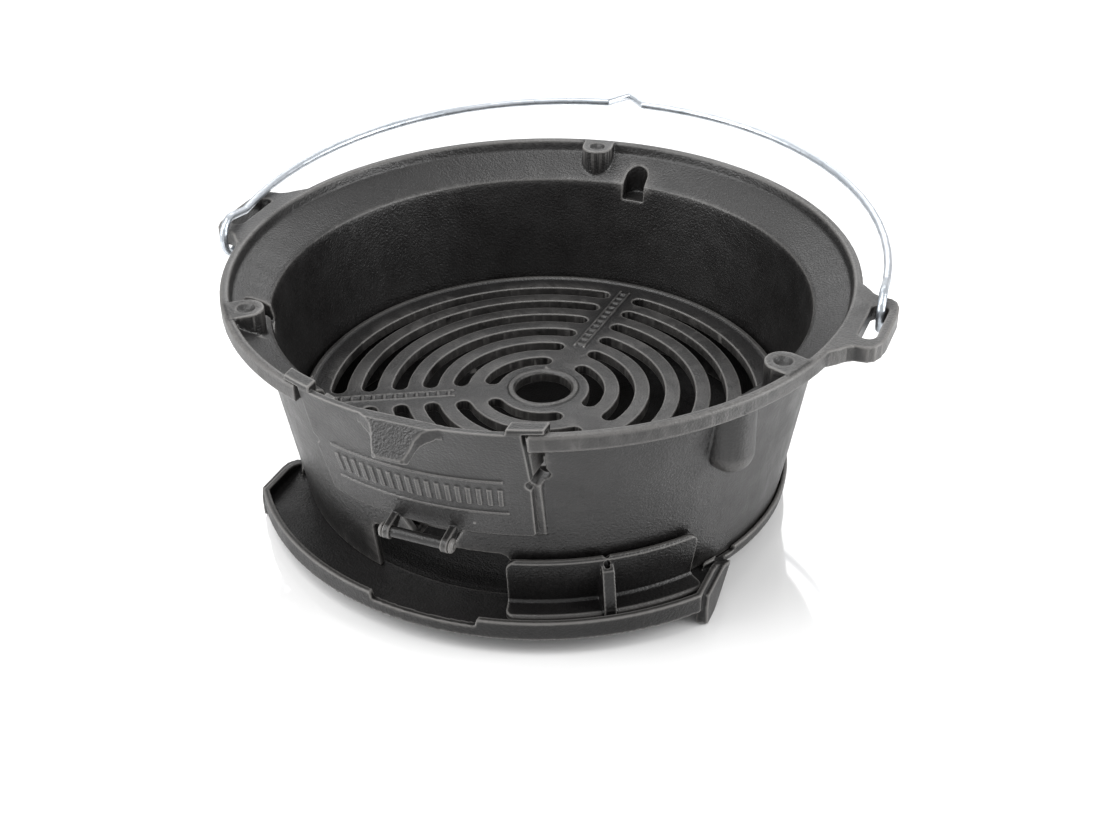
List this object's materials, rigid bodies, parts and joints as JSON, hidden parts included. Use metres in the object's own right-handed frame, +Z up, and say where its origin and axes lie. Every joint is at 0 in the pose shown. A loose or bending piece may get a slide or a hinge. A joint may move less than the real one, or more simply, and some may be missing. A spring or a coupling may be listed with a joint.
{
  "type": "portable charcoal fire pot",
  "caption": "Round cast-iron charcoal fire pot on an ash tray with apron, slotted coal grate, hung fuel door, air slider and wire carrying bail.",
  "frame": {"origin": "on the bowl axis at floor level, under the tray's feet", "axes": "+Z up along the bowl axis, fuel door and tray apron towards -Y, bail lugs along X"},
  "size_m": [0.379, 0.3922, 0.1516],
  "materials": {
    "bowl_iron": "seasoned, satin, fine casting grain",
    "tray_iron": "seasoned, satin, fine casting grain",
    "grate_iron": "seasoned, satin, fine casting grain",
    "door_iron": "seasoned, satin, fine casting grain",
    "slider_iron": "seasoned, satin, fine casting grain",
    "bar_iron": "seasoned, satin",
    "bail_wire": "bright galvanised wire"
  },
  "bodies": {
    "tray": {"ash_tray": "tray_iron"},
    "bowl": {"fire_bowl": "bowl_iron"},
    "grate": {"coal_grate": "grate_iron"},
    "door": {"fuel_door": "door_iron", "door_grip_bar": "bar_iron"},
    "slider": {"air_slider": "slider_iron"},
    "bail": {"bail_handle": "bail_wire"}
  },
  "joints": [
    {"name": "bowl_lift", "type": "slide", "parent": "tray", "child": "bowl", "axis": [0, 0, 1], "range_m": [0, 0.06]},
    {"name": "grate_lift", "type": "slide", "parent": "bowl", "child": "grate", "axis": [0, 0, 1], "range_m": [0, 0.1]},
    {"name": "door_lift", "type": "slide", "parent": "bowl", "child": "door", "axis": [0, -0.2917, 0.9565], "range_m": [0, 0.06]},
    {"name": "slider_turn", "type": "hinge", "parent": "tray", "child": "slider", "pos_m": [0, 0, 0.0143], "axis": [0, 0, 1], "range_deg": [-35, 0]},
    {"name": "bail_swing", "type": "hinge", "parent": "bowl", "child": "bail", "pos_m": [0, 0, 0.1315], "axis": [0.9923, 0.1236, 0], "range_deg": [0, 150]}
  ]
}
